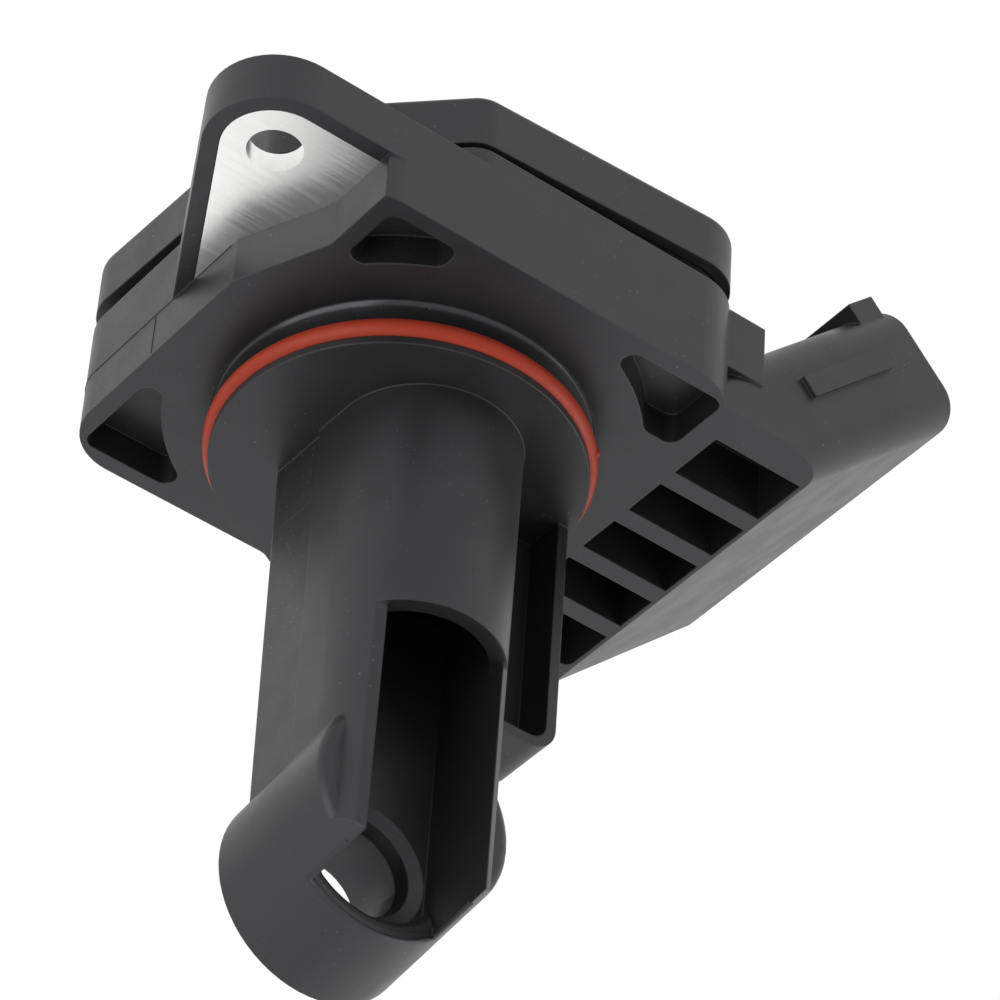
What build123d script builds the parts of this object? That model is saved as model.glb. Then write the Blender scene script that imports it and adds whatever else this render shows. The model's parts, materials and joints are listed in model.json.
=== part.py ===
from build123d import *
from math import acos, cos, degrees, hypot, radians, sin, sqrt, tan
import os

os.makedirs("parts", exist_ok=True)

# All sizes are in millimetres.
# The flange's seat face is z = 0 and the spigot's axis is the Z axis.
# The probe hangs towards -Z, its air inlet faces -Y and the connector rises towards +X.

# Flange block
block_left = -22.8
block_right = 21.1
block_front = -23.4
block_back = 21.7
block_corner_r = 5.5
parting_z = 5.0
shoulder_right = 23.9
shoulder_front = -21.5

# Fixing ears
ear_r = 6.4
ear_x = -26.7
ear_hole_r = 2.5
ear_root_y = 4.1
ear_rim = 1.6
ear_top_z = 10.2
ear_y = block_front + ear_r

# Step from the seat block up to the ears
step_x = -19.0
step_turn_y = -15.3
step_end_y = -6.0
step_round_r = 2.0

# Cored pockets in the seat face
pocket_depth = 3.4
pocket_wall = 1.7
pocket_land = 4.6
pocket_corner_r = 1.2
pocket_round_share = 0.2
right_pocket_x = 9.0
right_pocket_y = -14.3
front_pocket_x = -10.0
front_pocket_y = -15.0
far_pocket_w = 4.4
left_pocket_x = -10.7
left_pocket_y = 9.0

# Circuit tray and its rim
tray_top_z = 11.9
tray_wall = 2.6
rim_inset = 1.3
rim_top_z = 17.8
ear_chamfer_sum = 32.9
chamfer_corner_r = 3.0

# Lid, which rises towards the far ear; its heights are those over the spigot's axis
lid_tilt = 4.45
cover_bottom_z = 14.35
cover_top_z = 20.3
cover_wall = 1.15
cover_roof = 1.6
cover_edge_r = 0.8

# Mounting plate
plate_t = 2.1

# Spigot and its seal
spigot_h = 5.0
spigot_rim_r = 17.0
spigot_rim_h = 0.8
spigot_groove_r = 15.65
spigot_land_r = 16.65
spigot_land_h = 2.2
spigot_root_r = 0.6
oring_section_r = 1.0

# Probe
probe_r = 8.65
probe_centre_y = -4.1
probe_draft = 0.4
probe_rear_half = 8.2
probe_rear_y = 6.95
rear_draft = 2.0
rear_edge_r = 0.35
probe_end_z = -46.0
lid_top_z = -12.5
lid_end_z = -38.8
lid_end_drop = 2.9
lid_wall = 1.2
lid_gap = 0.1

# Air passage
slot_half = 6.1
slot_top_z = -29.4
slot_back_y = -0.4
slot_bevel = 0.95
divider_t = 1.3
turn_top_z = -13.4
turn_bottom_z = -20.0
passage_wall = 1.7

# Foot
foot_proud = 1.0
foot_wall = 0.95
foot_rise = 0.15
foot_front_y = -7.4
foot_back_y = 7.2
foot_back_z = -48.2
foot_edge_r = 1.0
foot_ledge_z = -43.3
foot_floor_y = -2.0
bore_r = 4.25
bore_z = -48.6
bore_mouth_r = 1.7
bleed_left = -3.8
bleed_right = -2.4

# Side bay with the air thermistor
bay_right = 15.9
bay_front_y = -4.1
bay_back_y = 2.6
bay_wall = 1.05
bay_bottom_z = -31.1
bay_corner_r = 2.8
bay_sweep_r = 16.6
bay_floor_y = 0.0
bay_clearance = 0.2

# Connector shell, inclined at 45 degrees
shell_under = 31.9
shell_h = 12.8
shell_reach = 22.4
shell_corner_r = 3.2
shell_far_corner_r = 1.0
shell_front = -21.3
shell_back = 19.7
shell_wall = 2.1
socket_depth = 15.0
lip_h = 1.2
lip_l = 3.8
lip_setback = 0.9
lip_inset = 0.8
guide_w = 2.15
guide_l = 14.0
guide_h = 0.5
guide_up = 7.6
guide_setback = 4.8

# Cored windows under the connector
window_left = 21.8
window_depth = 6.4
window_knife = 0.4
window_front = -17.6
window_back = 16.2
window_corner_r = 0.9
rib_count = 4
rib_w = 2.0
rib_pitch = 6.67
first_rib_y = -10.7

# Terminals
terminal_count = 5
terminal_pitch = 5.8
terminal_w = 2.2
terminal_t = 0.8
terminal_z = 8.6
terminal_inner_x = 17.0
terminal_short = 3.5
terminal_bend_r = 1.6

# Ribbons from the terminals to the board
link_w = 1.1
link_t = 0.2
link_land = 1.1

# Board
board_t = 0.8
board_left = -14.5
board_right = 15.0
board_front = -14.0
board_back = 12.5
board_hole_gap = 0.15
solder_h = 0.8

# Pieces on the board: place in plan, then width, length and height
chip_edge = 0.1
components = {
    "control_chip": (-5, 5.5, 7, 7, 1.6),
    "regulator_chip": (6, 7, 5, 4, 1.5),
    "capacitor_1": (-11, -4, 3.2, 1.8, 1.4),
    "capacitor_2": (-11, -8, 3.2, 1.8, 1.4),
    "capacitor_3": (6, 2, 2.5, 1.6, 1.2),
    "resistor_1": (-11, 0.5, 2.4, 1.3, 0.6),
    "resistor_2": (-11, -11.5, 2.4, 1.3, 0.6),
}

# Element carrier, its pins and elements
carrier_half_x = 5.5
carrier_front_y = -8.2
carrier_back_y = -0.8
carrier_bottom_z = -13.0
carrier_gap = 0.1
pin_w = 0.7
pin_x = 2.1
hot_y = -3.0
cold_y = -6.0
hot_drop = 4.4
cold_drop = 2.6
element_r = 0.55

# Thermistor
lead_r = 0.3
lead_x = 9.4
lead_pitch = 1.1
lead_y = -1.3
lead_hole_r = 1.35
bead_r = 1.0
bead_z = -17.0

# Values that follow from the ones above, and a length beyond the whole part for cutters
pocket_inner_r = spigot_rim_r + pocket_land
foot_r = probe_r + foot_proud
plate_top_z = parting_z + plate_t
board_top_z = plate_top_z + board_t
deep = 80.0
root2 = sqrt(2)
diagonal = Plane(origin=(0, 0, 0), z_dir=(1, 1, 0))


def corner_rectangle(x0, y0, x1, y1):
    """Rectangle between two opposite corners."""
    return Pos((x0 + x1) / 2, (y0 + y1) / 2) * Rectangle(abs(x1 - x0), abs(y1 - y0))


def block_between(x0, x1, y0, y1, z0, z1):
    """Box between three pairs of limits."""
    centre = Pos((x0 + x1) / 2, (y0 + y1) / 2, (z0 + z1) / 2)
    return centre * Box(x1 - x0, y1 - y0, z1 - z0)


def prism(sketch, z0, z1):
    """Prism of a plan sketch between two heights."""
    return extrude(Pos(0, 0, z0) * sketch, amount=z1 - z0)


def lid_layer(sketch, low, high):
    """Upright prism of a plan sketch between two heights of the tilted lid."""
    lean = sin(radians(lid_tilt)) / root2
    upright_share = cos(radians(lid_tilt))
    base = Plane(origin=(0, 0, low), x_dir=(1, -1, 0), z_dir=(-lean, -lean, upright_share))
    slab = extrude(base * Rectangle(deep, deep), amount=(high - low) * upright_share)
    return prism(sketch, 0, deep) & slab


def with_far_twin(shape):
    """The shape and its twin at the far ear."""
    return shape + mirror(shape, about=diagonal)


def block_sketch():
    """Plan of the square block with its rounded corners."""
    width = block_right - block_left
    length = block_back - block_front
    centre = Pos((block_left + block_right) / 2, (block_front + block_back) / 2)
    return centre * RectangleRounded(width, length, block_corner_r)


def ear_sketch():
    """Plan of the near ear: a round end with a side tangent to it."""
    reach = hypot(block_left - ear_x, ear_root_y - ear_y)
    to_root = Vector(block_left - ear_x, ear_root_y - ear_y) * (ear_r / reach)
    turned = to_root.rotate(Axis.Z, degrees(acos(ear_r / reach)))
    touch = (ear_x + turned.X, ear_y + turned.Y)
    root = Polygon(
        touch,
        (ear_x, block_front),
        (front_pocket_x, block_front),
        (front_pocket_x, ear_root_y),
        (block_left, ear_root_y),
        align=None,
    )
    return root + Pos(ear_x, ear_y) * Circle(ear_r)


def upper_sketch():
    """Plan of the block with both ears."""
    return block_sketch() + with_far_twin(ear_sketch())


def tray_sketch():
    """Plan of the lid and tray: the block with its corners cut at the ears."""
    near_x = -ear_chamfer_sum - block_front
    near_y = -ear_chamfer_sum - block_left
    far_x = ear_chamfer_sum - block_back
    far_y = ear_chamfer_sum - block_right
    outline = Polygon(
        (near_x, block_front),
        (block_right, block_front),
        (block_right, far_y),
        (far_x, block_back),
        (block_left, block_back),
        (block_left, near_y),
        align=None,
    )
    square = [v for v in outline.vertices() if abs(v.X + v.Y) < ear_chamfer_sum / 2]
    outline = fillet(square, block_corner_r)
    cut = [v for v in outline.vertices() if abs(abs(v.X + v.Y) - ear_chamfer_sum) < 0.01]
    return fillet(cut, chamfer_corner_r)


def step_cutter():
    """Plan cut away below the near ear."""
    beyond = ear_x - ear_r
    outline = Polygon(
        (beyond, block_front - ear_r),
        (step_x, block_front - ear_r),
        (step_x, step_turn_y),
        (block_left, step_end_y),
        (beyond, step_end_y),
        align=None,
    )
    turn = outline.vertices().sort_by_distance((step_x, step_turn_y))[0]
    return fillet(turn, step_round_r)


def pocket(x0, y0, x1, y1):
    """Cored pocket whose inner side follows the spigot."""
    outline = corner_rectangle(x0, y0, x1, y1) - Circle(pocket_inner_r)
    rounding = min(pocket_corner_r, (x1 - x0) * pocket_round_share, (y1 - y0) * pocket_round_share)
    outline = offset(offset(outline, -rounding), rounding)
    return prism(outline, 0, pocket_depth)


def pockets():
    """The four pockets in the seat face."""
    right = pocket(right_pocket_x, block_front + pocket_wall, block_right - pocket_wall, right_pocket_y)
    front = pocket(step_x + pocket_wall, block_front + pocket_wall, front_pocket_x, front_pocket_y)
    left = pocket(block_left + pocket_wall, left_pocket_y, left_pocket_x, block_back - pocket_wall)
    far_left = block_right - pocket_wall - far_pocket_w
    far = pocket(far_left, -front_pocket_x, block_right - pocket_wall, -step_x - pocket_wall)
    return [right, front, left, far]


def flange():
    """Seat block, ears and tray as one mass."""
    lower = prism(block_sketch() - with_far_twin(step_cutter()), 0, parting_z)
    upper = prism(upper_sketch(), parting_z, ear_top_z)
    shoulder_back = block_back - block_corner_r
    shoulder = block_between(0, shoulder_right, shoulder_front, shoulder_back, parting_z, tray_top_z)
    tray = prism(tray_sketch(), parting_z, tray_top_z)
    rim = lid_layer(offset(tray_sketch(), -rim_inset), plate_top_z, rim_top_z)
    return lower + upper + shoulder + tray + rim


def tray_cavity():
    """Room for the circuit above the plate."""
    return prism(offset(tray_sketch(), -tray_wall), plate_top_z, deep)


def ear_cups():
    """Recesses above the plate for the screw heads."""
    inside = offset(upper_sketch(), -ear_rim)
    near = inside & corner_rectangle(ear_x - ear_r, block_front, front_pocket_x, ear_root_y)
    near -= tray_sketch()
    return prism(with_far_twin(near), plate_top_z, ear_top_z)


def spigot():
    """Turned spigot with the groove for the o-ring and a hollow root in two steps."""
    groove_low = spigot_rim_h - spigot_h
    middle = spigot_root_r * (1 - 1 / root2)
    profile = Polygon(
        (0, 0),
        (spigot_land_r + spigot_root_r, 0),
        (spigot_land_r + middle, -middle),
        (spigot_land_r, -spigot_root_r),
        (spigot_land_r, -spigot_land_h),
        (spigot_groove_r, -spigot_land_h),
        (spigot_groove_r, groove_low),
        (spigot_rim_r, groove_low),
        (spigot_rim_r, -spigot_h),
        (0, -spigot_h),
        align=None,
    )
    return revolve(Plane.XZ * profile, Axis.Z)


def probe_sketch(radius):
    """Half-round front with straight flanks."""
    flank = corner_rectangle(-radius, probe_centre_y, radius, 0)
    return flank + Pos(0, probe_centre_y) * Circle(radius) - corner_rectangle(-deep, 0, deep, deep)


def probe():
    """Drafted front of the probe, rounded off below like the foot, with its divider."""
    front = extrude(Pos(0, 0, -spigot_h) * probe_sketch(probe_r), amount=-deep, taper=probe_draft)
    keep = block_between(-deep, deep, -deep, deep, probe_end_z, 0)
    front &= keep + foot_tube(probe_centre_y - probe_r, foot_r)
    half = probe_rear_half - lid_wall - lid_gap
    divider = block_between(-half, half, slot_back_y, slot_back_y + divider_t, seam()[1], turn_bottom_z)
    return front + divider


def rear_y(z):
    """Distance of the drafted rear face from the spigot's axis at a height."""
    return probe_rear_y + (z - lid_top_z) * tan(radians(rear_draft))


def seam():
    """Heights of the bypass cover's sloping lower end, in front and behind."""
    return lid_end_z, lid_end_z - lid_end_drop


def rear_block(inset, low, high):
    """Block behind the probe with a drafted rear face, its ends given in front and behind."""
    side = Polygon(
        (0, low[0]),
        (0, high[0]),
        (rear_y(high[1]) - inset, high[1]),
        (rear_y(low[1]) - inset, low[1]),
        align=None,
    )
    return extrude(Plane.YZ * side, amount=probe_rear_half - inset, both=True)


def rear_body(low, high):
    """Solid block behind the probe with its long rear edges rounded."""
    block = rear_block(0, low, high)
    long_edges = block.faces().sort_by(Axis.Y)[-1].edges().filter_by(Axis.X, reverse=True)
    return fillet(long_edges, rear_edge_r)


def rear_root():
    """Solid root above the bypass cover."""
    return rear_body((lid_top_z, lid_top_z), (-spigot_h, -spigot_h))


def rear_neck():
    """Solid neck between the bypass cover and the foot."""
    return rear_body((foot_back_z, foot_back_z), seam())


def foot_tube(front_y, radius):
    """Round body that slopes down from a front plane to the foot's back face."""
    back = Plane(origin=(0, foot_back_y, foot_back_z), x_dir=(1, 0, 0), z_dir=(0, -1, 0))
    length = (foot_back_y - front_y) * hypot(1, foot_rise)
    return extrude(back * Circle(radius), amount=length, dir=(0, -1, foot_rise))


def foot():
    """Round foot that stands proud of the probe, level on top behind."""
    body = foot_tube(foot_front_y, foot_r)
    body = fillet(body.faces().sort_by(Axis.Y)[0].edges(), foot_edge_r)
    return body - block_between(-deep, deep, 0, deep, foot_ledge_z, 0)


def foot_hollow():
    """Air passage in front of the divider, opened through the foot's floor."""
    mouth = block_between(-slot_half, slot_half, -deep, foot_floor_y, -deep, slot_top_z)
    room = foot_tube(foot_floor_y - foot_wall, foot_r - foot_wall)
    room += block_between(-foot_r, foot_r, foot_floor_y - foot_wall, slot_back_y, foot_back_z, slot_top_z)
    room &= block_between(-slot_half, slot_half, foot_floor_y - foot_wall, slot_back_y, -deep, slot_top_z)
    return mouth + room


def slot_bevels():
    """Bevels along both front edges of the inlet."""
    inner_y = probe_centre_y - sqrt(probe_r**2 - slot_half**2)
    outer_x = slot_half + slot_bevel
    outer_y = probe_centre_y - sqrt(probe_r**2 - outer_x**2)
    wedge = Polygon(
        (slot_half - slot_bevel, inner_y + slot_bevel / 2),
        (slot_half, inner_y + slot_bevel / 2),
        (outer_x, outer_y),
        (outer_x, inner_y - slot_bevel),
        (slot_half - slot_bevel, inner_y - slot_bevel),
        align=None,
    )
    lean = tan(radians(probe_draft)) * probe_r / sqrt(probe_r**2 - slot_half**2)
    cutter = extrude(Pos(0, 0, -spigot_h) * wedge, amount=deep, dir=(0, lean, -1))
    cutter &= block_between(-deep, deep, -deep, deep, -2 * deep, slot_top_z)
    return cutter + mirror(cutter, about=Plane.YZ)


def upper_passage():
    """Passage inside the probe above the inlet."""
    room = probe_sketch(probe_r - passage_wall) & corner_rectangle(-slot_half, -deep, slot_half, slot_back_y)
    return prism(room, slot_top_z, turn_top_z)


def turn_window():
    """Opening over the divider into the rear channel."""
    behind = slot_back_y + 2 * divider_t
    return block_between(-slot_half, slot_half, slot_back_y - divider_t, behind, turn_bottom_z, turn_top_z)


def bore():
    """Venturi bore through the foot, its mouth flared in two steps."""
    middle = bore_mouth_r * (1 - 1 / root2)
    profile = Polygon(
        (0, 0),
        (bore_r + bore_mouth_r, 0),
        (bore_r + middle, middle),
        (bore_r, bore_mouth_r),
        (bore_r, deep),
        (0, deep),
        align=None,
    )
    return Pos(0, slot_back_y, bore_z) * revolve(profile, Axis.Y)


def bleed():
    """Passage from the rear channel down into the side of the bore."""
    front = slot_back_y + divider_t
    back = rear_y(seam()[1]) - lid_wall
    return block_between(bleed_left, bleed_right, front, back, bore_z, lid_end_z)


def side_bay():
    """Side chamber that shelters the thermistor."""
    outline = corner_rectangle(0, bay_front_y, bay_right, bay_back_y) & Circle(bay_sweep_r)
    body = prism(outline, bay_bottom_z, -spigot_h)
    low = body.edges().filter_by(Axis.Y).sort_by(Axis.Z)[0:2]
    body = fillet(low.sort_by(Axis.X)[-1], bay_corner_r)
    return body - block_between(-probe_r, probe_rear_half + bay_clearance, 0, deep, -deep, lid_top_z)


def bay_hollow():
    """Open room of the side bay."""
    low = bay_bottom_z + bay_wall
    room = block_between(probe_r, bay_right - bay_wall, bay_front_y, bay_floor_y, low, -spigot_h)
    corner = room.edges().filter_by(Axis.Y).sort_by(Axis.Z)[0:2].sort_by(Axis.X)[-1]
    return fillet(corner, bay_corner_r - bay_wall)


def shell_plane(along, up):
    """Plane across the connector: along its axis, up from its underside."""
    low = -shell_under / root2
    x = (along - low - up) / root2
    z = (along + low + up) / root2
    return Plane(origin=(x, (shell_front + shell_back) / 2, z), x_dir=(0, 1, 0), z_dir=(1, 0, 1))


def shell_start():
    """Distance along the axis where the underside meets the seat plane."""
    return shell_under / root2


def mouth():
    """Distance along the axis of the connector's mouth."""
    return shell_start() + shell_reach


def shell_section(inset):
    """Section of the shell or its room, with larger corners on the near side."""
    outline = Rectangle(shell_back - shell_front - 2 * inset, shell_h - 2 * inset)
    corners = outline.vertices().sort_by(Axis.X)
    outline = fillet(corners[0:2], shell_corner_r - inset / 2)
    corners = outline.vertices().sort_by(Axis.X)
    return shell_plane(mouth(), shell_h / 2) * fillet(corners[-2:], shell_far_corner_r)


def connector_shell():
    """Inclined shell with its lip and side guides, cut off at the seat plane."""
    width = shell_back - shell_front
    body = extrude(shell_section(0), amount=-(shell_reach + shell_h))
    lip = shell_plane(mouth() - lip_setback, shell_h) * Rectangle(width - 2 * lip_inset, 2 * lip_h)
    body += extrude(lip, amount=-lip_l)
    end = shell_plane(mouth() - guide_setback - guide_w / 2, guide_up)
    body += extrude(end * Rectangle(width + 2 * guide_h, guide_w), amount=guide_w / 2 - guide_l)
    body += Pos(*end.origin) * Rot(90, 0, 0) * Cylinder(guide_w / 2, width + 2 * guide_h)
    keep = block_between(block_right - tray_wall, deep, -deep, deep, 0, deep)
    return body & keep


def socket_room():
    """Room in the connector for the plug."""
    return extrude(shell_section(shell_wall), amount=-socket_depth)


def windows():
    """Cored windows between the ribs under the connector."""
    ribs = [first_rib_y + n * rib_pitch for n in range(rib_count)]
    fronts = [window_front] + [y + rib_w / 2 for y in ribs]
    backs = [y - rib_w / 2 for y in ribs] + [window_back]
    right = shell_under - window_knife
    cuts = [block_between(window_left, right, y0, y1, 0, window_depth) for y0, y1 in zip(fronts, backs)]
    upright_edges = cuts[-1].edges().filter_by(Axis.Z).group_by(Axis.Y)[-1]
    cuts[-1] = fillet(upright_edges, window_corner_r)
    return cuts


def terminal_y(index):
    """Place of a terminal across the connector."""
    return (shell_front + shell_back) / 2 + (index - (terminal_count - 1) / 2) * terminal_pitch


def terminal(index):
    """Blade from the socket, bent to lie flat in the tray."""
    y = terminal_y(index)
    tip = shell_plane(mouth() - terminal_short, shell_h / 2).origin
    bend_x = tip.X - (tip.Z - terminal_z)
    path = FilletPolyline((terminal_inner_x, y, terminal_z), (bend_x, y, terminal_z), (tip.X, y, tip.Z),
                          radius=terminal_bend_r)
    start = Plane(origin=(terminal_inner_x, y, terminal_z), x_dir=(0, 1, 0), z_dir=(1, 0, 0))
    return sweep(start * Rectangle(terminal_w, terminal_t), path=path)


def link(index):
    """Ribbon from a terminal's inner end down to the board."""
    top = terminal_z + terminal_t / 2
    outer = Polygon(
        (terminal_inner_x + link_land, top),
        (terminal_inner_x + link_land, top + link_t),
        (terminal_inner_x - link_t, top + link_t),
        (board_right - link_land + link_t, board_top_z + link_t),
        (board_right - 2 * link_land, board_top_z + link_t),
        (board_right - 2 * link_land, board_top_z),
        (board_right - link_land, board_top_z),
        (terminal_inner_x, top),
        align=None,
    )
    return Pos(0, terminal_y(index) + link_w / 2, 0) * extrude(Plane.XZ * outer, amount=link_w)


def pin_places():
    """Plan place and drop of each element pin."""
    hot = [(-pin_x, hot_y, hot_drop), (pin_x, hot_y, hot_drop)]
    cold = [(-pin_x, cold_y, cold_drop), (pin_x, cold_y, cold_drop)]
    return hot + cold


def element_pins():
    """Square stamped pins from the board to the elements."""
    top = board_top_z + solder_h
    section = Rectangle(pin_w, pin_w)
    return [prism(Pos(x, y) * section, carrier_bottom_z - drop, top) for x, y, drop in pin_places()]


def element(y, drop):
    """Wound element between two pins."""
    z = carrier_bottom_z - drop + element_r
    return Pos(0, y, z) * Rot(0, 90, 0) * Cylinder(element_r, 2 * pin_x - pin_w)


def element_carrier():
    """Moulded block that holds the pins in the probe."""
    body = block_between(
        carrier_gap - carrier_half_x,
        carrier_half_x - carrier_gap,
        carrier_front_y + carrier_gap,
        carrier_back_y - carrier_gap,
        carrier_bottom_z,
        plate_top_z,
    )
    for pin in element_pins():
        body -= pin
    return body


def carrier_well():
    """Well for the carrier."""
    half = carrier_half_x
    return block_between(-half, half, carrier_front_y, carrier_back_y, turn_top_z, plate_top_z)


def thermistor_leads():
    """Two leads from the board down into the side bay."""
    top = board_top_z + solder_h
    return [prism(Pos(lead_x + n * lead_pitch, lead_y) * Circle(lead_r), bead_z, top) for n in (0, 1)]


def thermistor_bead():
    """Bead across the ends of the leads."""
    x = lead_x + lead_pitch / 2
    return Pos(x, lead_y, bead_z - bead_r) * Rot(0, 90, 0) * Cylinder(bead_r, lead_pitch + 2 * lead_r)


def mounting_plate():
    """Aluminium plate under the tray and in both ears."""
    outline = offset(upper_sketch(), -ear_rim)
    outline -= corner_rectangle(-carrier_half_x, carrier_front_y, carrier_half_x, carrier_back_y)
    outline -= with_far_twin(Pos(ear_x, ear_y) * Circle(ear_hole_r))
    for n in (0, 1):
        outline -= Pos(lead_x + n * lead_pitch, lead_y) * Circle(lead_hole_r)
    return prism(outline, parting_z, plate_top_z)


def housing():
    """The main moulding."""
    body = flange() + connector_shell() + spigot()
    body += probe() + rear_root() + rear_neck() + foot() + side_bay()
    rooms = [tray_cavity(), ear_cups(), foot_hollow(), slot_bevels(), upper_passage(), turn_window()]
    rooms += [bore(), bleed(), bay_hollow(), socket_room(), carrier_well(), mounting_plate()]
    for cut in rooms:
        body -= cut
    for cut in pockets() + windows() + [terminal(n) for n in range(terminal_count)] + thermistor_leads():
        body -= cut
    body -= ear_through_holes()
    return body


def ear_through_holes():
    """Way for the screws through the ears."""
    hole = Pos(ear_x, ear_y) * Circle(ear_hole_r)
    return prism(with_far_twin(hole), parting_z, ear_top_z)


def cover():
    """Tilted lid that caps the tray's rim."""
    body = lid_layer(tray_sketch(), cover_bottom_z, cover_top_z)
    body = fillet(body.faces().sort_by(Axis.Z)[-1].edges(), cover_edge_r)
    room = lid_layer(offset(tray_sketch(), -cover_wall), cover_bottom_z, cover_top_z - cover_roof)
    return body - room


def cover_seal():
    """Bead between the rim and the lid."""
    ring = offset(tray_sketch(), -rim_inset) - offset(tray_sketch(), -tray_wall)
    return lid_layer(ring, rim_top_z, cover_top_z - cover_roof)


def o_ring():
    """Round seal in the spigot's groove."""
    centre_z = -(spigot_land_h + spigot_h - spigot_rim_h) / 2
    return Pos(0, 0, centre_z) * Torus(spigot_groove_r + oring_section_r, oring_section_r)


def bypass_cover():
    """Rear half of the probe, closing the rear channel."""
    roof = lid_top_z - lid_wall
    return rear_body(seam(), (lid_top_z, lid_top_z)) - rear_block(lid_wall, seam(), (roof, roof))


def circuit_board():
    """Board on the plate, with holes for the pins and leads."""
    outline = corner_rectangle(board_left, board_front, board_right, board_back)
    hole_w = pin_w + 2 * board_hole_gap
    for x, y, drop in pin_places():
        outline -= Pos(x, y) * Rectangle(hole_w, hole_w)
    for n in (0, 1):
        outline -= Pos(lead_x + n * lead_pitch, lead_y) * Circle(lead_r + board_hole_gap)
    return prism(outline, plate_top_z, board_top_z)


def chip(x, y, width, length, height):
    """Block-shaped component on the board."""
    plan = Pos(x, y) * Rectangle(width, length)
    body = prism(plan, board_top_z, board_top_z + height)
    return chamfer(body.faces().sort_by(Axis.Z)[-1].edges(), chip_edge)


nodes = {
    "housing": housing(),
    "cover": cover(),
    "cover_seal": cover_seal(),
    "o_ring": o_ring(),
    "mounting_plate": mounting_plate(),
    "bypass_cover": bypass_cover(),
    "circuit_board": circuit_board(),
    "element_carrier": element_carrier(),
    "hot_element": element(hot_y, hot_drop),
    "cold_element": element(cold_y, cold_drop),
    "air_thermistor": thermistor_bead(),
}
for name, sizes in components.items():
    nodes[name] = chip(*sizes)
for number in range(terminal_count):
    nodes[f"terminal_{number + 1}"] = terminal(number)
    nodes[f"link_{number + 1}"] = link(number)
for number, piece in enumerate(element_pins(), start=1):
    nodes[f"pin_{number}"] = piece
for number, piece in enumerate(thermistor_leads(), start=1):
    nodes[f"thermistor_lead_{number}"] = piece

for name, piece in nodes.items():
    export_step(piece, f"parts/{name}.step")
    print(name, len(piece.solids()), round(piece.volume, 2))
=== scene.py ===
import json
import math

import bmesh
import bpy
from mathutils import Matrix, Vector


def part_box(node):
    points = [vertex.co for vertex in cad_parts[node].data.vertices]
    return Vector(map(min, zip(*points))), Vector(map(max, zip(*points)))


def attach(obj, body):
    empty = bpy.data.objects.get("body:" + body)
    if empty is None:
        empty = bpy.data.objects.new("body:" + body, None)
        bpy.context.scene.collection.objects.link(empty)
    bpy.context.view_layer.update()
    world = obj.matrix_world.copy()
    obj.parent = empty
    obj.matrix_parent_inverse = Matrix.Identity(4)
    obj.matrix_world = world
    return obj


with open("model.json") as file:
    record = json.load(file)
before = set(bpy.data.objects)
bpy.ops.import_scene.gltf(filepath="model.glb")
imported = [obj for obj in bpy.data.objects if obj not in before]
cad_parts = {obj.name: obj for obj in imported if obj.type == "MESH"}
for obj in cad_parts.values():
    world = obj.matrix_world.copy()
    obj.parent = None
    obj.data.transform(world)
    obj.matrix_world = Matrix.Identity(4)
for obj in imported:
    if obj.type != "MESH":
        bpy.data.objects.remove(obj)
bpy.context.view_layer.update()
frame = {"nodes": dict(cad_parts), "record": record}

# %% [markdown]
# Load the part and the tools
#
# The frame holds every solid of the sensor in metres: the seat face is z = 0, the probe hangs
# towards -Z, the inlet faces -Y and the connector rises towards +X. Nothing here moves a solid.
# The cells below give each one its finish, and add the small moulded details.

MM = 0.001
nodes = frame["nodes"]
housing_low, housing_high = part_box("housing")
print("housing from", [round(v / MM, 1) for v in housing_low], "to", [round(v / MM, 1) for v in housing_high])

# %% [markdown]
# The camera
#
# The picture looks up at the sensor from the front left, below the flange. The turn, the tilt and
# the small roll are the three angles of that view. A long lens keeps the straight edges of the
# flange nearly parallel, as a product photographer would.

# %% Camera
VIEW_TURN = math.radians(-34.781)
VIEW_TILT = math.radians(-41.28)
VIEW_ROLL = math.radians(4.123)
VIEW_DISTANCE = 456.954 * MM
FOCAL_PIXELS = 5119.2
FRAME_PIXELS = 1000
SENSOR_WIDTH = 36.0
ORIGIN_IN_FRAME = (402.196, 431.923)


def view_axes(turn, tilt, roll):
    """Right, up and forward directions of the camera."""
    forward = Vector((-math.sin(turn) * math.cos(tilt), math.cos(turn) * math.cos(tilt), -math.sin(tilt)))
    right = Vector((math.cos(turn), math.sin(turn), 0))
    up = right.cross(forward)
    rolled_right = right * math.cos(roll) + up * math.sin(roll)
    return rolled_right, rolled_right.cross(forward), forward


def add_camera():
    """Camera with a long lens at the three angles; the result is its place."""
    right, up, forward = view_axes(VIEW_TURN, VIEW_TILT, VIEW_ROLL)
    per_pixel = VIEW_DISTANCE / FOCAL_PIXELS
    aside = (ORIGIN_IN_FRAME[0] - FRAME_PIXELS / 2) * per_pixel
    above = (FRAME_PIXELS / 2 - ORIGIN_IN_FRAME[1]) * per_pixel
    place = -(right * aside + up * above + forward * VIEW_DISTANCE)
    camera = bpy.data.objects.new("camera", bpy.data.cameras.new("camera"))
    camera.data.sensor_width = SENSOR_WIDTH
    camera.data.lens = FOCAL_PIXELS * SENSOR_WIDTH / FRAME_PIXELS
    turned = Matrix((right, up, -forward)).transposed().to_4x4()
    camera.matrix_world = Matrix.Translation(place) @ turned
    bpy.context.scene.collection.objects.link(camera)
    bpy.context.scene.camera = camera
    return place


print("camera at", [round(v, 4) for v in add_camera()])

# %% [markdown]
# Studio
#
# The background is plain white. The world shows white to the camera and to reflections, and lights
# the part more softly than that. The floor far below glows for the same rays, because the faces that
# look down mirror it. Two large soft lamps stand left and low right, because the photo's left faces
# and the connector's sloped underside are the lightest.

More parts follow.
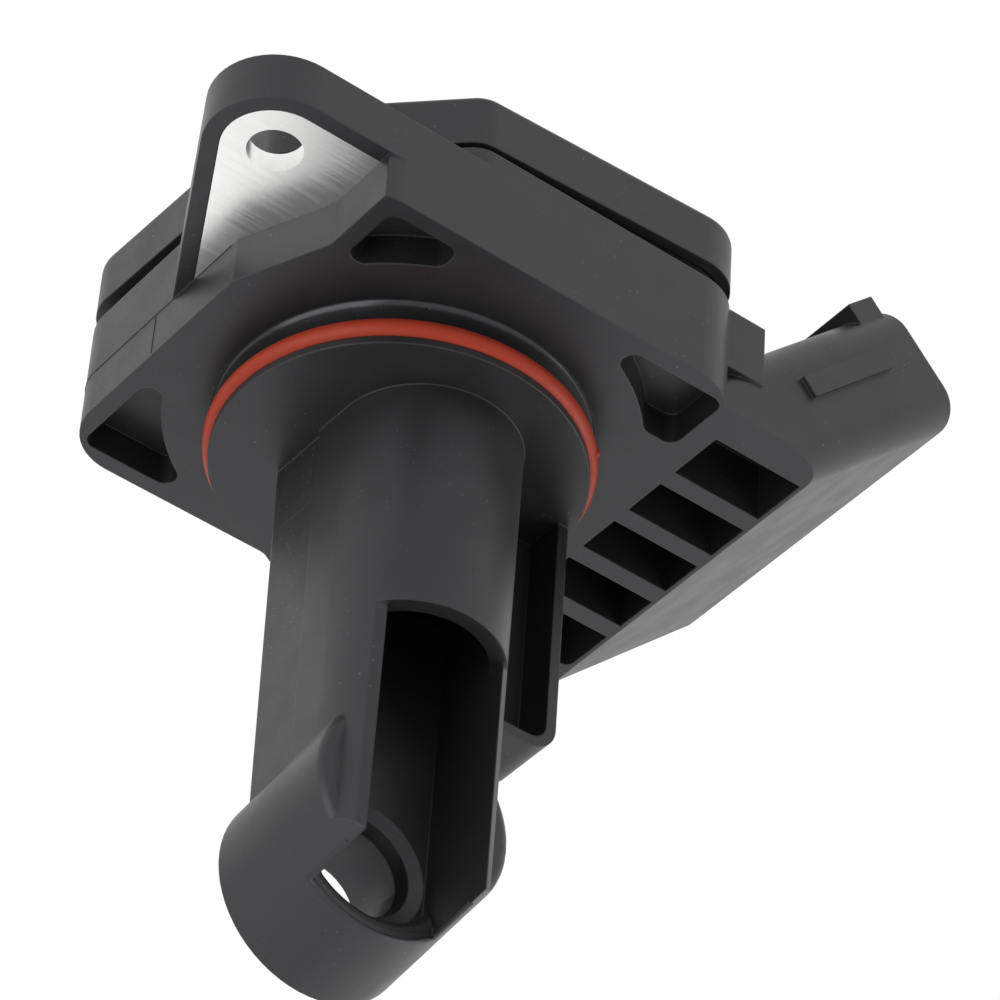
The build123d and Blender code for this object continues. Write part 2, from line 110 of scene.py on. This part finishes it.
# %% World, floor and lamps
AMBIENT = 0.32
FLOOR_Z = -0.62
FLOOR_SIZE = 6.0
FLOOR_SHOWN = 0.75
FLOOR_COLOUR = (0.86, 0.86, 0.86, 1)
WHITE = (1, 1, 1, 1)
FLOOR_ROUGHNESS = 0.9
LAMP_AIM = (0, 0, -0.02)
# Place, size and power of each lamp
LAMPS = {
    "left_softbox": ((-0.66, -0.12, -0.28), 0.7, 2.6),
    "low_right_softbox": ((0.65, -0.25, -0.5), 0.6, 3.0),
}


def shown_rays(tree):
    """1 for the rays that show the background: camera, glossy and transmission rays."""
    rays = tree.nodes.new("ShaderNodeLightPath")
    value = rays.outputs["Is Camera Ray"]
    for kind in ("Is Glossy Ray", "Is Transmission Ray"):
        either = tree.nodes.new("ShaderNodeMath")
        either.operation = "MAXIMUM"
        tree.links.new(value, either.inputs[0])
        tree.links.new(rays.outputs[kind], either.inputs[1])
        value = either.outputs[0]
    return value


def add_world():
    """World that shows white and lights the part with less."""
    world = bpy.data.worlds.new("studio")
    bpy.context.scene.world = world
    world.use_nodes = True
    tree = world.node_tree
    tree.nodes.clear()
    strength = tree.nodes.new("ShaderNodeMapRange")
    strength.inputs["To Min"].default_value = AMBIENT
    strength.inputs["To Max"].default_value = 1.0
    background = tree.nodes.new("ShaderNodeBackground")
    background.inputs["Color"].default_value = WHITE
    output = tree.nodes.new("ShaderNodeOutputWorld")
    tree.links.new(shown_rays(tree), strength.inputs["Value"])
    tree.links.new(strength.outputs["Result"], background.inputs["Strength"])
    tree.links.new(background.outputs[0], output.inputs["Surface"])


def add_lamp(name, place, size, power):
    """Square soft lamp that faces the part."""
    lamp = bpy.data.lights.new(name, "AREA")
    lamp.shape = "RECTANGLE"
    lamp.size = lamp.size_y = size
    lamp.energy = power
    holder = bpy.data.objects.new(name, lamp)
    holder.location = place
    holder.rotation_euler = (Vector(LAMP_AIM) - Vector(place)).to_track_quat("-Z", "Y").to_euler()
    bpy.context.scene.collection.objects.link(holder)


def add_floor():
    """Pale floor far below the part."""
    mesh = bpy.data.meshes.new("floor")
    half = FLOOR_SIZE / 2
    signs = [(-1, -1), (1, -1), (1, 1), (-1, 1)]
    corners = [(across * half, along * half, FLOOR_Z) for across, along in signs]
    mesh.from_pydata(corners, [], [(0, 1, 2, 3)])
    floor = bpy.data.objects.new("floor", mesh)
    bpy.context.scene.collection.objects.link(floor)
    paint = bpy.data.materials.new("pale_floor")
    paint.use_nodes = True
    tree = paint.node_tree
    shader = tree.nodes["Principled BSDF"]
    shader.inputs["Base Color"].default_value = FLOOR_COLOUR
    shader.inputs["Roughness"].default_value = FLOOR_ROUGHNESS
    shader.inputs["Emission Color"].default_value = WHITE
    glow = tree.nodes.new("ShaderNodeMath")
    glow.operation = "MULTIPLY"
    glow.inputs[1].default_value = FLOOR_SHOWN
    tree.links.new(shown_rays(tree), glow.inputs[0])
    tree.links.new(glow.outputs[0], shader.inputs["Emission Strength"])
    mesh.materials.append(paint)


add_world()
add_floor()
for lamp_name, values in LAMPS.items():
    add_lamp(lamp_name, *values)
bpy.context.scene.view_settings.view_transform = "Standard"
print("floor at", FLOOR_Z, "m, world light", AMBIENT)

# %% [markdown]
# Moulded plastic
#
# The housing is black glass-filled plastic with a fine matt skin from a spark-eroded mould. Close up
# it has a small grain, and pale specks where fibre ends and dust lie on the surface. Its edges come
# out of the mould slightly rounded, so each catches a thin light line: the Bevel node rounds the edges
# in the shading alone, and a lighter colour on the edges paints that highlight as well. One noise
# makes the grain and a slower one varies the gloss.

# %% Plastic finish
GRAIN_SCALE = 9000
GRAIN_DEPTH = 0.02 * MM
GRAIN_STRENGTH = 0.3
GLOSS_SCALE = 260
GLOSS_SPREAD = 0.03
EDGE_RADIUS = 0.22 * MM
EDGE_SAMPLES = 4
# How much lighter the edges are painted: a painted highlight on the plastic's edges.
EDGE_HIGHLIGHT_GAIN = 2.2
SPECK_SCALE = 1500
SPECK_SIZE = 0.07
SPECK_SHARE = 0.62
SPECK_STEP = 0.01
SPECK_COLOUR = (0.22, 0.22, 0.22, 1)
SPECK_FADE = 1.6
PATCH_SCALE = 90
PATCH_LEAST = 0.25
PATCH_START = 0.5
PATCH_END = 0.6
EDGE_START = 0.75
EDGE_END = 0.97
SHINE_TINT = (0.96, 0.94, 1, 1)
BLUE_TINT = 1.06
NOISE_LOW = 0.35
NOISE_HIGH = 0.65
# Colour sockets of the Mix node, whose labels its other kinds share
MIX_COLOURS = (6, 7)
MIX_RESULT = 2
# Tone and roughness of each plastic
PLASTICS = {"black_plastic": (0.018, 0.41), "lid_plastic": (0.015, 0.44), "carrier_plastic": (0.05, 0.5)}


def new_material(name):
    """Empty finish with its tree and shader."""
    material = bpy.data.materials.new(name)
    material.use_nodes = True
    return material, material.node_tree, material.node_tree.nodes["Principled BSDF"]


def add_node(tree, kind, inputs=None, **settings):
    """Node with its settings and constant inputs."""
    node = tree.nodes.new(kind)
    for label, value in settings.items():
        setattr(node, label, value)
    for label, value in (inputs or {}).items():
        node.inputs[label].default_value = value
    return node


def noise(tree, scale, detail=2.0):
    """Noise in object coordinates, so that it has one scale on every piece."""
    where = add_node(tree, "ShaderNodeTexCoord")
    texture = add_node(tree, "ShaderNodeTexNoise", {"Scale": scale, "Detail": detail})
    tree.links.new(where.outputs["Object"], texture.inputs["Vector"])
    return texture.outputs["Fac"]


def spread(tree, value, low, high, start=NOISE_LOW, end=NOISE_HIGH):
    """Value between two limits from a factor."""
    ramp = add_node(tree, "ShaderNodeMapRange",
                    {"From Min": start, "From Max": end, "To Min": low, "To Max": high})
    tree.links.new(value, ramp.inputs["Value"])
    return ramp.outputs["Result"]


def product(tree, one, other):
    """Product of two values."""
    node = add_node(tree, "ShaderNodeMath", operation="MULTIPLY")
    tree.links.new(one, node.inputs[0])
    tree.links.new(other, node.inputs[1])
    return node.outputs[0]


def blend(tree, factor, low, high):
    """Colour between two, each a constant or a socket."""
    node = add_node(tree, "ShaderNodeMix", data_type="RGBA")
    tree.links.new(factor, node.inputs["Factor"])
    for place, colour in zip(MIX_COLOURS, (low, high)):
        if isinstance(colour, tuple):
            node.inputs[place].default_value = colour
        else:
            tree.links.new(colour, node.inputs[place])
    return node.outputs[MIX_RESULT]


def specks(tree):
    """Small round specks, thicker in some patches than in others."""
    where = add_node(tree, "ShaderNodeTexCoord")
    cells = add_node(tree, "ShaderNodeTexVoronoi", {"Scale": SPECK_SCALE})
    tree.links.new(where.outputs["Object"], cells.inputs["Vector"])
    inside = spread(tree, cells.outputs["Distance"], 1, 0, SPECK_SIZE, SPECK_SIZE * SPECK_FADE)
    parts = add_node(tree, "ShaderNodeSeparateColor")
    tree.links.new(cells.outputs["Color"], parts.inputs["Color"])
    chosen = spread(tree, parts.outputs["Red"], 0, 1, SPECK_SHARE, SPECK_SHARE + SPECK_STEP)
    patch = spread(tree, noise(tree, PATCH_SCALE), PATCH_LEAST, 1, PATCH_START, PATCH_END)
    return product(tree, product(tree, inside, chosen), patch)


def edges(tree):
    """Rounded normal at the edges, and a factor that is 1 on them, where the highlight is painted."""
    rounded = add_node(tree, "ShaderNodeBevel", {"Radius": EDGE_RADIUS}, samples=EDGE_SAMPLES)
    flat = add_node(tree, "ShaderNodeNewGeometry")
    same = add_node(tree, "ShaderNodeVectorMath", operation="DOT_PRODUCT")
    tree.links.new(rounded.outputs["Normal"], same.inputs[0])
    tree.links.new(flat.outputs["Normal"], same.inputs[1])
    return rounded.outputs["Normal"], spread(tree, same.outputs["Value"], 1, 0, EDGE_START, EDGE_END)


def relief(tree, shader, height, strength):
    """Fine relief of the surface from a height."""
    bump = add_node(tree, "ShaderNodeBump", {"Strength": strength, "Distance": GRAIN_DEPTH})
    tree.links.new(height, bump.inputs["Height"])
    tree.links.new(bump.outputs["Normal"], shader.inputs["Normal"])
    return bump


def moulded_plastic(name, tone, roughness):
    """Plastic with grain, pale specks and a painted highlight on its edges."""
    material, tree, shader = new_material(name)
    colour = (tone, tone, tone * BLUE_TINT, 1)
    # The edges get a lighter colour: a painted highlight, mixed in by the edge factor.
    painted_highlight = (tone * EDGE_HIGHLIGHT_GAIN, tone * EDGE_HIGHLIGHT_GAIN, tone * EDGE_HIGHLIGHT_GAIN * BLUE_TINT, 1)
    normal, highlight_mask = edges(tree)
    surface = blend(tree, highlight_mask, colour, painted_highlight)
    surface = blend(tree, specks(tree), surface, SPECK_COLOUR)
    tree.links.new(surface, shader.inputs["Base Color"])
    shader.inputs["Specular Tint"].default_value = SHINE_TINT
    gloss = spread(tree, noise(tree, GLOSS_SCALE), roughness - GLOSS_SPREAD, roughness + GLOSS_SPREAD)
    tree.links.new(gloss, shader.inputs["Roughness"])
    grain = relief(tree, shader, noise(tree, GRAIN_SCALE), GRAIN_STRENGTH)
    tree.links.new(normal, grain.inputs["Normal"])
    return material


plastics = {name: moulded_plastic(name, *skin) for name, skin in PLASTICS.items()}
print("plastic finishes:", list(plastics))

# %% [markdown]
# Rubber, metals and the circuit
#
# The seal is orange silicone with a weak gloss. The plate is rolled aluminium, so its grain runs one
# way; the noise is stretched along X for that. The circuit board has green resist, and a brick
# pattern stands for its paler raised tracks. The pins are nickel plated and the terminals tinned.
# The other small parts get one colour each, which varies a little, as their gloss does.

# %% Other finishes
ROLL_SCALE = (60, 4200, 900)
ROLL_SPREAD = 0.05
ROLL_RELIEF = 0.1
FINE_SCALE = 4000
DARKER = 0.9
RESIST_COLOUR = (0.012, 0.075, 0.03, 1)
TRACK_COLOUR = (0.03, 0.16, 0.06, 1)
TRACK_PATTERN = {"Scale": 260.0, "Mortar Size": 0.02}
TRACK_ROWS = {"offset": 0.35, "squash": 0.7}
TRACK_RELIEF = 0.5
BOARD_ROUGHNESS = 0.3


def shades(colour):
    """A slightly darker shade of a colour, and the colour itself."""
    return (*(DARKER * c for c in colour), 1), (*colour, 1)


def finish(name, colour, roughness, metallic=0.0, grain=0.0, coat=0.0, gloss=0.5):
    """One colour that varies a little, as its gloss does, with a relief where grain is set."""
    material, tree, shader = new_material(name)
    tree.links.new(blend(tree, noise(tree, FINE_SCALE / 8), *shades(colour)), shader.inputs["Base Color"])
    tree.links.new(spread(tree, noise(tree, FINE_SCALE / 4), roughness * 0.9, roughness * 1.1),
                   shader.inputs["Roughness"])
    shader.inputs["Metallic"].default_value = metallic
    shader.inputs["Coat Weight"].default_value = coat
    shader.inputs["Specular IOR Level"].default_value = gloss
    relief(tree, shader, noise(tree, FINE_SCALE), grain)
    return material


def rolled_metal(name, colour, roughness):
    """Metal whose grain runs along X."""
    material, tree, shader = new_material(name)
    where = add_node(tree, "ShaderNodeTexCoord")
    stretch = add_node(tree, "ShaderNodeMapping", {"Scale": ROLL_SCALE})
    lines = add_node(tree, "ShaderNodeTexNoise", {"Scale": 1.0, "Detail": 4.0})
    tree.links.new(where.outputs["Object"], stretch.inputs["Vector"])
    tree.links.new(stretch.outputs["Vector"], lines.inputs["Vector"])
    tree.links.new(blend(tree, lines.outputs["Fac"], *shades(colour)), shader.inputs["Base Color"])
    tree.links.new(spread(tree, lines.outputs["Fac"], roughness - ROLL_SPREAD, roughness + ROLL_SPREAD),
                   shader.inputs["Roughness"])
    shader.inputs["Metallic"].default_value = 1.0
    relief(tree, shader, lines.outputs["Fac"], ROLL_RELIEF)
    return material


def board_resist():
    """Green resist over a pattern of tracks."""
    material, tree, shader = new_material("board")
    where = add_node(tree, "ShaderNodeTexCoord")
    tracks = add_node(tree, "ShaderNodeTexBrick", TRACK_PATTERN, **TRACK_ROWS)
    tree.links.new(where.outputs["Object"], tracks.inputs["Vector"])
    resist = blend(tree, tracks.outputs["Fac"], RESIST_COLOUR, TRACK_COLOUR)
    tree.links.new(resist, shader.inputs["Base Color"])
    shader.inputs["Roughness"].default_value = BOARD_ROUGHNESS
    relief(tree, shader, tracks.outputs["Fac"], TRACK_RELIEF)
    return material


finishes = dict(plastics)
finishes["seal_rubber"] = finish("seal_rubber", (0.46, 0.05, 0.022), 0.42, grain=0.05, gloss=0.25)
finishes["plate_metal"] = rolled_metal("plate_metal", (0.97, 0.97, 0.96), 0.33)
finishes["lid_seal"] = finish("lid_seal", (0.02, 0.02, 0.02), 0.3, grain=0.1)
finishes["board"] = board_resist()
finishes["chip"] = finish("chip", (0.018, 0.018, 0.02), 0.5, grain=0.3)
finishes["capacitor"] = finish("capacitor", (0.3, 0.19, 0.1), 0.35, grain=0.1)
finishes["resistor"] = finish("resistor", (0.02, 0.02, 0.024), 0.2, coat=0.4)
finishes["terminal_metal"] = rolled_metal("terminal_metal", (0.72, 0.7, 0.64), 0.28)
finishes["link_metal"] = finish("link_metal", (0.85, 0.85, 0.84), 0.25, metallic=1.0)
finishes["pin_metal"] = finish("pin_metal", (0.68, 0.66, 0.61), 0.25, metallic=1.0)
finishes["element"] = finish("element", (0.6, 0.62, 0.64), 0.12, coat=1.0)
finishes["bead"] = finish("bead", (0.05, 0.035, 0.028), 0.1, coat=1.0)

for part in frame["record"]["subparts"]:
    data = nodes[part["node"]].data
    data.materials.clear()
    data.materials.append(finishes[part["material_slot"]])

# %% [markdown]
# How the added details are made
#
# Some details are too fine for the solids: flash lines, the legs of the chips, solder. What follows a
# path or repeats is made by Geometry Nodes, as a tree with named sizes. The tree's result is turned
# into a plain mesh, so that each detail is a piece in its own right.

# %% Geometry Nodes helpers
SHARP_FROM = math.radians(40)
BEAD_SIDES = 8


def mesh_piece(name, points, edges_between=(), faces=()):
    """Object from points in millimetres."""
    mesh = bpy.data.meshes.new(name)
    mesh.from_pydata([[v * MM for v in p] for p in points], edges_between, faces)
    piece = bpy.data.objects.new(name, mesh)
    bpy.context.scene.collection.objects.link(piece)
    return piece


def start_tree(name, sizes):
    """Geometry tree with named sizes as inputs."""
    tree = bpy.data.node_groups.new(name, "GeometryNodeTree")
    tree.interface.new_socket("Geometry", in_out="INPUT", socket_type="NodeSocketGeometry")
    for label in sizes:
        tree.interface.new_socket(label, in_out="INPUT", socket_type="NodeSocketFloat")
    tree.interface.new_socket("Geometry", in_out="OUTPUT", socket_type="NodeSocketGeometry")
    return tree, tree.nodes.new("NodeGroupInput")


def end_tree(tree, geometry, material):
    """Real geometry with its finish as the tree's result."""
    realize = tree.nodes.new("GeometryNodeRealizeInstances")
    paint = add_node(tree, "GeometryNodeSetMaterial", {"Material": material})
    output = tree.nodes.new("NodeGroupOutput")
    tree.links.new(geometry, realize.inputs["Geometry"])
    tree.links.new(realize.outputs["Geometry"], paint.inputs["Geometry"])
    tree.links.new(paint.outputs["Geometry"], output.inputs["Geometry"])


def make_plain(piece, tree, sizes):
    """Run the tree with its sizes, keep the result as a mesh and hang the piece on the body."""
    modifier = piece.modifiers.new(tree.name, "NODES")
    modifier.node_group = tree
    for item in tree.interface.items_tree:
        if item.in_out == "INPUT" and item.name in sizes:
            modifier[item.identifier] = sizes[item.name] * MM
    graph = bpy.context.evaluated_depsgraph_get()
    solid = bpy.data.meshes.new_from_object(piece.evaluated_get(graph))
    piece.modifiers.remove(modifier)
    piece.data = solid
    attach(piece, "root")
    print(piece.name, len(solid.polygons), "faces")


def bead_tree(material):
    """Round bead along every edge of a mesh."""
    tree, start = start_tree("bead_along_path", ["Radius"])
    path = tree.nodes.new("GeometryNodeMeshToCurve")
    section = add_node(tree, "GeometryNodeCurvePrimitiveCircle", {"Resolution": BEAD_SIDES})
    sweep = add_node(tree, "GeometryNodeCurveToMesh", {"Fill Caps": True})
    tree.links.new(start.outputs["Geometry"], path.inputs["Mesh"])
    tree.links.new(start.outputs["Radius"], section.inputs["Radius"])
    tree.links.new(path.outputs["Curve"], sweep.inputs["Curve"])
    tree.links.new(section.outputs["Curve"], sweep.inputs["Profile Curve"])
    end_tree(tree, sweep.outputs["Mesh"], material)
    return tree


def bead(name, points, radius):
    """Bead of the housing's plastic along a path of points."""
    pairs = [(n, n + 1) for n in range(len(points) - 1)]
    make_plain(mesh_piece(name, points, pairs), housing_bead, {"Radius": radius})


def smooth_piece(name, points, faces, material):
    """Piece from faces, smooth where it curves and sharp at its corners."""
    piece = mesh_piece(name, points, faces=faces)
    piece.data.materials.append(material)
    piece.data.shade_smooth()
    piece.data.set_sharp_from_angle(angle=SHARP_FROM)
    print(name, len(faces), "faces")
    return piece


housing_bead = bead_tree(finishes["black_plastic"])

# %% [markdown]
# Foot sill and lip
#
# The air leaves through a bore low in the foot. Behind the inlet the foot's floor is thick and ends
# in a rounded sill that guides the air to the bore, and a fine lip runs round the cut. A sill is a
# section swept across the floor; the lip is a round bead along the edge. Both follow the slope of
# the foot's underside.

# %% Sill and lip
FOOT_R = 9.65
FOOT_BACK = (7.2, -48.2)
FOOT_RISE = 0.15
SLOT_HALF = 6.08
SILL_OUTER = 8.78
SILL_INNER = 7.3
SILL_FRONT = -2.0
SILL_BACK = -0.42
LIP_INSET = 0.17
LIP_R = 0.26
LIP_FRONT = -7.0
SILL_STEPS = 41
SILL_ROUND_STEPS = 7
LIP_STEPS = 31
LIP_SIDE_STEPS = 8


def floor_point(x, y, radius):
    """Point on the foot's round floor at a distance from its axis."""
    axis_z = FOOT_BACK[1] + FOOT_RISE * (FOOT_BACK[0] - y)
    return (x, y, axis_z - math.sqrt(radius**2 - x**2))


def between(low, high, count):
    """Evenly spaced values with both ends."""
    return [low + (high - low) * n / (count - 1) for n in range(count)]


def sill_section():
    """Depth and radius round the sill, with its front inner edge rounded."""
    round_r = SILL_OUTER - SILL_INNER
    centre_y = SILL_FRONT + round_r
    turn = [math.radians(a) for a in between(180, 90, SILL_ROUND_STEPS)]
    curve = [(centre_y + round_r * math.cos(a), SILL_OUTER - round_r * math.sin(a)) for a in turn]
    return curve + [(SILL_BACK, SILL_INNER), (SILL_BACK, SILL_OUTER)]


def add_sill():
    """The sill's section, repeated across the floor."""
    section = sill_section()
    rows = between(-SLOT_HALF, SLOT_HALF, SILL_STEPS)
    points = [floor_point(x, y, radius) for x in rows for y, radius in section]
    size = len(section)
    faces = [
        (row * size + n, row * size + (n + 1) % size, (row + 1) * size + (n + 1) % size, (row + 1) * size + n)
        for row in range(len(rows) - 1)
        for n in range(size)
    ]
    last = (len(rows) - 1) * size
    faces += [tuple(reversed(range(size))), tuple(range(last, last + size))]
    sill = smooth_piece("foot_sill", points, faces, finishes["black_plastic"])
    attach(sill, "root")


def lip_path():
    """Along one side of the cut, across it and along the other side."""
    edge = FOOT_R - LIP_INSET
    depth = between(LIP_FRONT, SILL_FRONT + LIP_INSET, LIP_SIDE_STEPS)
    left = [floor_point(-SLOT_HALF - LIP_INSET, y, edge) for y in depth]
    width = between(-SLOT_HALF, SLOT_HALF, LIP_STEPS)
    across = [floor_point(x, SILL_FRONT + LIP_INSET, edge) for x in width]
    return left + across + [(-x, y, z) for x, y, z in reversed(left)]


add_sill()
bead("foot_lip", lip_path(), LIP_R)

# %% [markdown]
# Neck of the spigot
#
# The spigot's root runs out into the seat face in a tall hollow curve, and the mould is polished
# there, so the neck above the seal shines. It is one section turned round the spigot's axis.

# %% Neck
NECK_R = 16.67
NECK_WIDE = 0.6
NECK_LOW = -2.0
NECK_TOP = -0.01
NECK_CORE = 16.5
NECK_STEPS = 128
NECK_CURVE_STEPS = 11
# Tone and roughness of the polished plastic
NECK_SKIN = (0.012, 0.16)


def add_neck():
    """The neck's hollow section, turned round the axis."""
    turn = [math.radians(a) for a in between(0, 90, NECK_CURVE_STEPS)]
    height = NECK_TOP - NECK_LOW
    section = [(NECK_R + NECK_WIDE * (1 - math.cos(a)), NECK_LOW + height * math.sin(a)) for a in turn]
    section += [(NECK_CORE, NECK_TOP), (NECK_CORE, NECK_LOW)]
    size = len(section)
    angles = [2 * math.pi * n / NECK_STEPS for n in range(NECK_STEPS)]
    points = [(r * math.cos(a), r * math.sin(a), z) for a in angles for r, z in section]
    faces = [
        (row * size + (n + 1) % size, row * size + n,
         (row + 1) % NECK_STEPS * size + n, (row + 1) % NECK_STEPS * size + (n + 1) % size)
        for row in range(NECK_STEPS)
        for n in range(size)
    ]
    neck = smooth_piece("neck_root", points, faces, moulded_plastic("polished_plastic", *NECK_SKIN))
    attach(neck, "root")


add_neck()

# %% [markdown]
# Flash lines and nubs
#
# Where two halves of the mould meet, a hair of plastic stays on the walls. The left wall has one
# along its upper rim and one upright. The seal has a small nub where its rubber was let in, and the
# foot has one on its underside. These are the marks that make a moulding look moulded, and none is
# taller than a tenth of a millimetre apart from the nubs.

# %% Flash and nubs
FLASH_R = 0.07
WALL_X = -22.8
WALL_CORNER_R = 5.5
WALL_BACK = 21.7
PARTING_Z = 5.0
PARTING_FRONT = -5.0
PARTING_STEPS = 8
CORNER_STEPS = 9
WITNESS_Y = 6.6
WITNESS_LOW = 0.4
WITNESS_STEPS = 4
SEAL_R = 17.6
SEAL_Z = -3.2
SEAL_NUB_TURN = math.radians(-43.5)
FOOT_NUB_TURN = math.radians(-93.7)
FOOT_NUB_IN = 0.5
FOOT_NUB_SUNK = 0.32
SEAL_NUB_SIZE = (0.3, 0.3, 0.45)
FOOT_NUB_SIZE = (0.4, 0.4, 0.3)
NUB_SEGMENTS = 16
NUB_RINGS = 8


def parting_path():
    """Along the left wall and round its back corner."""
    along = between(PARTING_FRONT, WALL_BACK - WALL_CORNER_R, PARTING_STEPS)
    wall = [(WALL_X, y, PARTING_Z) for y in along]
    centre = (WALL_X + WALL_CORNER_R, WALL_BACK - WALL_CORNER_R)
    turn = [math.radians(a) for a in between(170, 90, CORNER_STEPS)]
    corner = [(centre[0] + WALL_CORNER_R * math.cos(a), centre[1] + WALL_CORNER_R * math.sin(a), PARTING_Z)
              for a in turn]
    return wall + corner


def add_nub(name, place, radii, slot):
    """Small rounded nub from a squashed ball."""
    ball = bmesh.new()
    bmesh.ops.create_uvsphere(ball, u_segments=NUB_SEGMENTS, v_segments=NUB_RINGS, radius=1.0)
    for vertex in ball.verts:
        vertex.co = [(c + v * r) * MM for c, v, r in zip(place, vertex.co, radii)]
    mesh = bpy.data.meshes.new(name)
    ball.to_mesh(mesh)
    ball.free()
    mesh.materials.append(finishes[slot])
    mesh.shade_smooth()
    nub = bpy.data.objects.new(name, mesh)
    bpy.context.scene.collection.objects.link(nub)
    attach(nub, "root")
    print(name, len(mesh.polygons), "faces")


bead("parting_flash", parting_path(), FLASH_R)
witness_path = [(WALL_X, WITNESS_Y, z) for z in between(PARTING_Z, WITNESS_LOW, WITNESS_STEPS)]
bead("witness_flash", witness_path, FLASH_R)
seal_nub = (SEAL_R * math.cos(SEAL_NUB_TURN), SEAL_R * math.sin(SEAL_NUB_TURN), SEAL_Z)
add_nub("seal_nub", seal_nub, SEAL_NUB_SIZE, "seal_rubber")
foot_nub = (
    FOOT_R * math.cos(FOOT_NUB_TURN),
    FOOT_BACK[0] - FOOT_NUB_IN,
    FOOT_BACK[1] + (FOOT_R - FOOT_NUB_SUNK) * math.sin(FOOT_NUB_TURN),
)
add_nub("foot_nub", foot_nub, FOOT_NUB_SIZE, "black_plastic")

# %% [markdown]
# Chip legs and solder
#
# The two chips under the lid stand on tinned legs, and the pins and leads come up through the board
# in small cones of solder. Nobody sees them with the lid on, but a copy that is taken apart or cut
# open shows them. The legs and the solder are guessed, like all that lies under the lid. One tree
# puts a leg at every point of a mesh and turns it to its side of the chip; another puts a cone at
# every pin and lead.

# %% Legs and solder
BOARD_Z = 7.9
# Middle, width and number of legs on a side of each chip
CHIPS = {"control_chip": (-5, 5.5, 7, 8), "regulator_chip": (6, 7, 5, 4)}
LEG_PITCH = 0.8
LEG_SIZES = {"Width": 0.35, "Reach": 0.7, "Height": 0.8, "Thickness": 0.12}
CONE_SIDES = 20
SOLDER_SIZES = {"Foot radius": 0.52, "Top radius": 0.4, "Height": 0.5}
PIN_PLACES = [(-2.1, -3.0), (2.1, -3.0), (-2.1, -6.0), (2.1, -6.0), (9.4, -1.3), (10.5, -1.3)]


def vector(tree, **values):
    """Vector from values for some of X, Y and Z; the others stay 0."""
    node = tree.nodes.new("ShaderNodeCombineXYZ")
    for axis, value in values.items():
        tree.links.new(value, node.inputs[axis])
    return node.outputs["Vector"]


def halved(tree, value):
    """Half of a value."""
    node = add_node(tree, "ShaderNodeMath", {1: 0.5}, operation="MULTIPLY")
    tree.links.new(value, node.inputs[0])
    return node.outputs[0]


def leg_tree(material):
    """Bent leg at every point: a foot on the board and a riser against the chip."""
    tree, start = start_tree("legs_at_points", LEG_SIZES)
    width, reach, height, thick = [start.outputs[label] for label in LEG_SIZES]
    foot = (vector(tree, X=reach, Y=width, Z=thick), vector(tree, X=halved(tree, reach)))
    riser = (vector(tree, X=thick, Y=width, Z=height), vector(tree, Z=halved(tree, height)))
    join = tree.nodes.new("GeometryNodeJoinGeometry")
    for size, shift in (foot, riser):
        cube = tree.nodes.new("GeometryNodeMeshCube")
        move = tree.nodes.new("GeometryNodeTransform")
        tree.links.new(size, cube.inputs["Size"])
        tree.links.new(cube.outputs["Mesh"], move.inputs["Geometry"])
        tree.links.new(shift, move.inputs["Translation"])
        tree.links.new(move.outputs["Geometry"], join.inputs["Geometry"])
    side = add_node(tree, "GeometryNodeInputNamedAttribute", {"Name": "turn"}, data_type="FLOAT")
    spread_legs = tree.nodes.new("GeometryNodeInstanceOnPoints")
    tree.links.new(start.outputs["Geometry"], spread_legs.inputs["Points"])
    tree.links.new(join.outputs["Geometry"], spread_legs.inputs["Instance"])
    tree.links.new(vector(tree, Z=side.outputs["Attribute"]), spread_legs.inputs["Rotation"])
    end_tree(tree, spread_legs.outputs["Instances"], material)
    return tree


def cone_tree(material):
    """Cone of solder at every point."""
    tree, start = start_tree("solder_at_points", SOLDER_SIZES)
    cone = add_node(tree, "GeometryNodeMeshCone", {"Vertices": CONE_SIDES})
    spread_cones = tree.nodes.new("GeometryNodeInstanceOnPoints")
    tree.links.new(start.outputs["Foot radius"], cone.inputs["Radius Bottom"])
    tree.links.new(start.outputs["Top radius"], cone.inputs["Radius Top"])
    tree.links.new(start.outputs["Height"], cone.inputs["Depth"])
    tree.links.new(start.outputs["Geometry"], spread_cones.inputs["Points"])
    tree.links.new(cone.outputs["Mesh"], spread_cones.inputs["Instance"])
    end_tree(tree, spread_cones.outputs["Instances"], material)
    return tree


def add_legs(tree):
    """Legs along both sides of each chip."""
    for chip, (x, y, width, count) in CHIPS.items():
        along = [y + (n - (count - 1) / 2) * LEG_PITCH for n in range(count)]
        height = BOARD_Z + LEG_SIZES["Thickness"] / 2
        places = [(x + side * width / 2, row, height) for side in (1, -1) for row in along]
        legs = mesh_piece(chip + "_legs", places)
        turn = legs.data.attributes.new("turn", "FLOAT", "POINT")
        turn.data.foreach_set("value", [0.0] * count + [math.pi] * count)
        make_plain(legs, tree, LEG_SIZES)


add_legs(leg_tree(finishes["pin_metal"]))
solder = mesh_piece("solder_joints", [(x, y, BOARD_Z) for x, y in PIN_PLACES])
make_plain(solder, cone_tree(finishes["pin_metal"]), SOLDER_SIZES)
